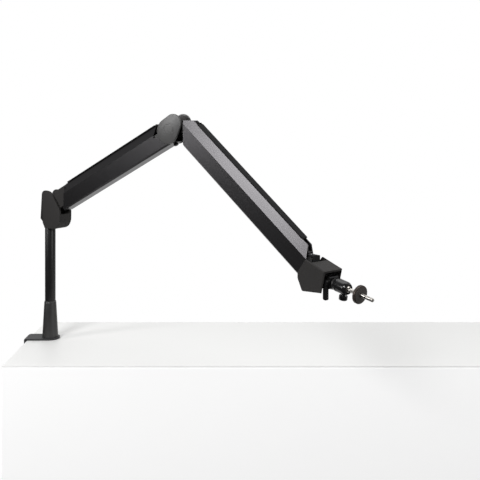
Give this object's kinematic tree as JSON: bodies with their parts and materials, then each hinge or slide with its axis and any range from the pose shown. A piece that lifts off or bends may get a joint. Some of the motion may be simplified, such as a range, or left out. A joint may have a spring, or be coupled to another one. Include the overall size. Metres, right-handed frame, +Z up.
{
  "type": "microphone boom arm",
  "caption": "Desk-clamp boom arm with riser, two box-section arms with cable covers, tilting head and small ball head with a threaded stud.",
  "frame": {"origin": "on the riser axis, on the desk top, which is the underside of the pad under the clamp plate", "axes": "+Z up along the riser, +X into the desk away from its edge, the arms reach towards +X and -Y"},
  "size_m": [0.6598, 0.4628, 0.6337],
  "materials": {
    "steel_black": "fine black powder coat",
    "rubber": "matt black rubber",
    "riser_black": "satin black coat",
    "zinc": "bright zinc",
    "plastic_black": "fine textured black",
    "cast_black": "cast and coated black",
    "anodised": "black anodised, brushed lengthwise",
    "cover_black": "matt black",
    "spring_steel": "oiled spring steel",
    "nylon": "dark nylon",
    "ball_black": "gloss black",
    "disc_alu": "dark anodised",
    "stud_steel": "bright plated"
  },
  "bodies": {
    "clamp": {"clamp_bracket": "steel_black", "desk_pad": "rubber", "jaw_nut": "steel_black", "riser_socket": "riser_black", "riser_bolt": "zinc", "socket_ring": "rubber", "riser_tube": "riser_black", "riser_spigot": "zinc", "pan_screw": "zinc"},
    "grub": {"socket_grub": "cast_black"},
    "jaw_pad": {"swivel_pad": "steel_black", "swivel_rubber": "rubber"},
    "screw": {"clamp_screw": "zinc", "clamp_knob": "plastic_black"},
    "pod": {"pod_body": "cast_black", "pod_cover_near": "plastic_black", "pod_cover_far": "plastic_black", "pod_bolt": "zinc", "pod_washers": "nylon"},
    "lower_arm": {"lower_section": "anodised", "lower_knuckle": "plastic_black", "lower_spring": "spring_steel", "lower_spring_plug": "zinc", "lower_spring_hook": "zinc", "lower_cross_plate": "steel_black", "elbow_fork": "cast_black", "elbow_cap_near": "plastic_black", "elbow_cap_far": "plastic_black", "elbow_spacers": "nylon", "elbow_bolt": "zinc", "elbow_washers": "nylon"},
    "lower_lid": {"lower_cover": "cover_black"},
    "friction_screw": {"elbow_screw": "cast_black"},
    "upper_arm": {"upper_section": "anodised", "upper_knuckle": "cast_black", "upper_spring": "spring_steel", "upper_spring_plug": "zinc", "upper_spring_hook": "zinc", "tip_fork": "cast_black", "tilt_pins": "zinc"},
    "upper_lid": {"upper_cover": "cover_black"},
    "tip": {"tilt_block": "cast_black"},
    "head": {"head_yoke": "steel_black", "head_shell_near": "plastic_black", "head_shell_far": "plastic_black", "head_screws": "cast_black", "swivel_pin": "zinc", "adapter_stem": "cast_black", "wing_collar": "cast_black"},
    "wing": {"wing_screw": "cast_black"},
    "ball_head": {"ball_housing": "ball_black"},
    "lock": {"lock_knob": "ball_black"},
    "ball": {"ball_stem": "stud_steel", "mic_stud": "stud_steel"},
    "disc": {"locking_disc": "disc_alu", "disc_pad": "rubber"}
  },
  "joints": [
    {"name": "pod_pan", "type": "hinge", "parent": "clamp", "child": "pod", "pos_m": [0, 0, 0.285], "axis": [0, 0, 1], "continuous": true},
    {"name": "lower_lift", "type": "hinge", "parent": "pod", "child": "lower_arm", "pos_m": [0.01518, -0.00967, 0.285], "axis": [-0.5373, -0.8434, 0], "range_deg": [-26, 58]},
    {"name": "elbow_fold", "type": "hinge", "parent": "lower_arm", "child": "upper_arm", "pos_m": [0.28519, -0.18169, 0.45317], "axis": [-0.5373, -0.8434, 0], "range_deg": [-40, 66]},
    {"name": "head_tilt", "type": "hinge", "parent": "upper_arm", "child": "tip", "pos_m": [0.51835, -0.33022, 0.21993], "axis": [-0.5373, -0.8434, 0], "range_deg": [-18, 25]},
    {"name": "head_swivel", "type": "hinge", "parent": "tip", "child": "head", "pos_m": [0.51835, -0.33022, 0.21993], "axis": [0, 0, 1], "range_deg": [0, 38]},
    {"name": "wing_turn", "type": "hinge", "parent": "head", "child": "wing", "pos_m": [0.5501, -0.37014, 0.1957], "axis": [0.7826, 0.6225, 0], "range_deg": [-60, 60]},
    {"name": "ball_pan", "type": "hinge", "parent": "head", "child": "ball_head", "pos_m": [0.57064, -0.39596, 0.19054], "axis": [0.6149, -0.773, -0.1564], "continuous": true},
    {"name": "lock_turn", "type": "hinge", "parent": "ball_head", "child": "lock", "pos_m": [0.56672, -0.39104, 0.17635], "axis": [0.0974, -0.1224, 0.9877], "continuous": true},
    {"name": "ball_tilt", "type": "hinge", "parent": "ball_head", "child": "ball", "pos_m": [0.57064, -0.39596, 0.19054], "axis": [0.7826, 0.6225, 0], "range_deg": [-30, 30]},
    {"name": "disc_spin", "type": "hinge", "parent": "ball", "child": "disc", "pos_m": [0.58908, -0.41915, 0.18584], "axis": [0.6149, -0.773, -0.1564], "continuous": true},
    {"name": "pad_travel", "type": "slide", "parent": "clamp", "child": "jaw_pad", "axis": [0, 0, 1], "range_m": [-0.016, 0.036]},
    {"name": "screw_turn", "type": "hinge", "parent": "jaw_pad", "child": "screw", "pos_m": [-0.008, 0, -0.1], "axis": [0, 0, -1], "range_deg": [-6660, 6660]},
    {"name": "grub_turn", "type": "hinge", "parent": "clamp", "child": "grub", "pos_m": [-0.011, 0, 0.0615], "axis": [1, 0, 0], "range_deg": [-90, 90]},
    {"name": "friction_screw_turn", "type": "hinge", "parent": "lower_arm", "child": "friction_screw", "pos_m": [0.28034, -0.17859, 0.41601], "axis": [-0.3829, 0.2439, 0.891], "range_deg": [-180, 180]},
    {"name": "lower_lid_lift", "type": "slide", "parent": "lower_arm", "child": "lower_lid", "axis": [-0.3829, 0.2439, 0.891], "range_m": [0, 0.02]},
    {"name": "upper_lid_lift", "type": "slide", "parent": "upper_arm", "child": "upper_lid", "axis": [0.5588, -0.356, 0.749], "range_m": [0, 0.02]}
  ],
  "couplings": [
    {"joint": "screw_turn", "follows": "pad_travel", "rad_per_m": -3141.6}
  ]
}
